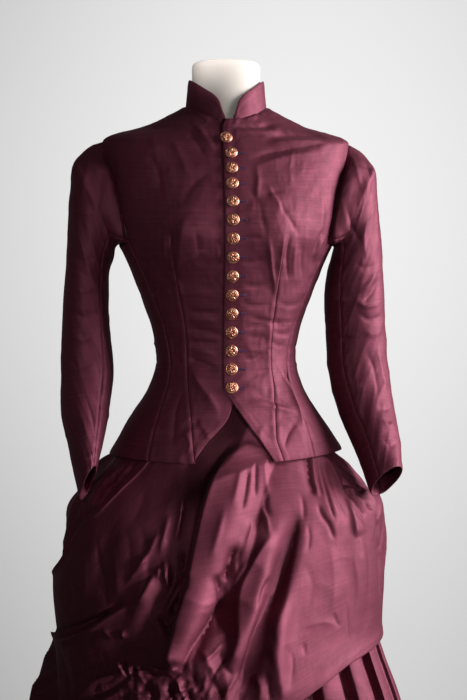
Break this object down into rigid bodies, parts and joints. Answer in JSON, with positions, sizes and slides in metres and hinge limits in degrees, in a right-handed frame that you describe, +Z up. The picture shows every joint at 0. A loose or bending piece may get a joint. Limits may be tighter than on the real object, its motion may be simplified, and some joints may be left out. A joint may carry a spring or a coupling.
{
  "type": "bustle dress on a dress form",
  "caption": "Fitted high-collared bodice with long sleeves and a row of domed buttons, over a swagged, puffed bustle drapery and pleated skirt, on a limbless form and stand.",
  "frame": {"origin": "centre of the stand's round base, on its underside, where it rests on the floor", "axes": "+Z up, the dress faces -Y, +X is the wearer's left"},
  "size_m": [0.8, 0.765, 1.508],
  "materials": {
    "taffeta": "crisp burgundy silk taffeta with a low sheen",
    "gilt_metal": "worn copper-gilt, stamped",
    "form_cover": "smooth cream cover",
    "stand_metal": "satin dark grey"
  },
  "bodies": {
    "root": {"bodice_front_left": "taffeta", "bodice_front_right": "taffeta", "bodice_underarm_left": "taffeta", "bodice_underarm_right": "taffeta", "bodice_side_back_left": "taffeta", "bodice_side_back_right": "taffeta", "bodice_back_left": "taffeta", "bodice_back_right": "taffeta", "collar": "taffeta", "sleeve_upper_left": "taffeta", "sleeve_upper_right": "taffeta", "sleeve_under_left": "taffeta", "sleeve_under_right": "taffeta", "waistband": "taffeta", "underskirt_front": "taffeta", "underskirt_left": "taffeta", "underskirt_back": "taffeta", "underskirt_right": "taffeta", "apron": "taffeta", "back_puff_upper": "taffeta", "back_puff_lower": "taffeta", "button_01": "gilt_metal", "button_02": "gilt_metal", "button_03": "gilt_metal", "button_04": "gilt_metal", "button_05": "gilt_metal", "button_06": "gilt_metal", "button_07": "gilt_metal", "button_08": "gilt_metal", "button_09": "gilt_metal", "button_10": "gilt_metal", "button_11": "gilt_metal", "button_12": "gilt_metal", "button_13": "gilt_metal", "button_14": "gilt_metal", "button_15": "gilt_metal", "form_torso": "form_cover", "form_pole": "stand_metal", "form_base": "stand_metal"}
  },
  "joints": []
}
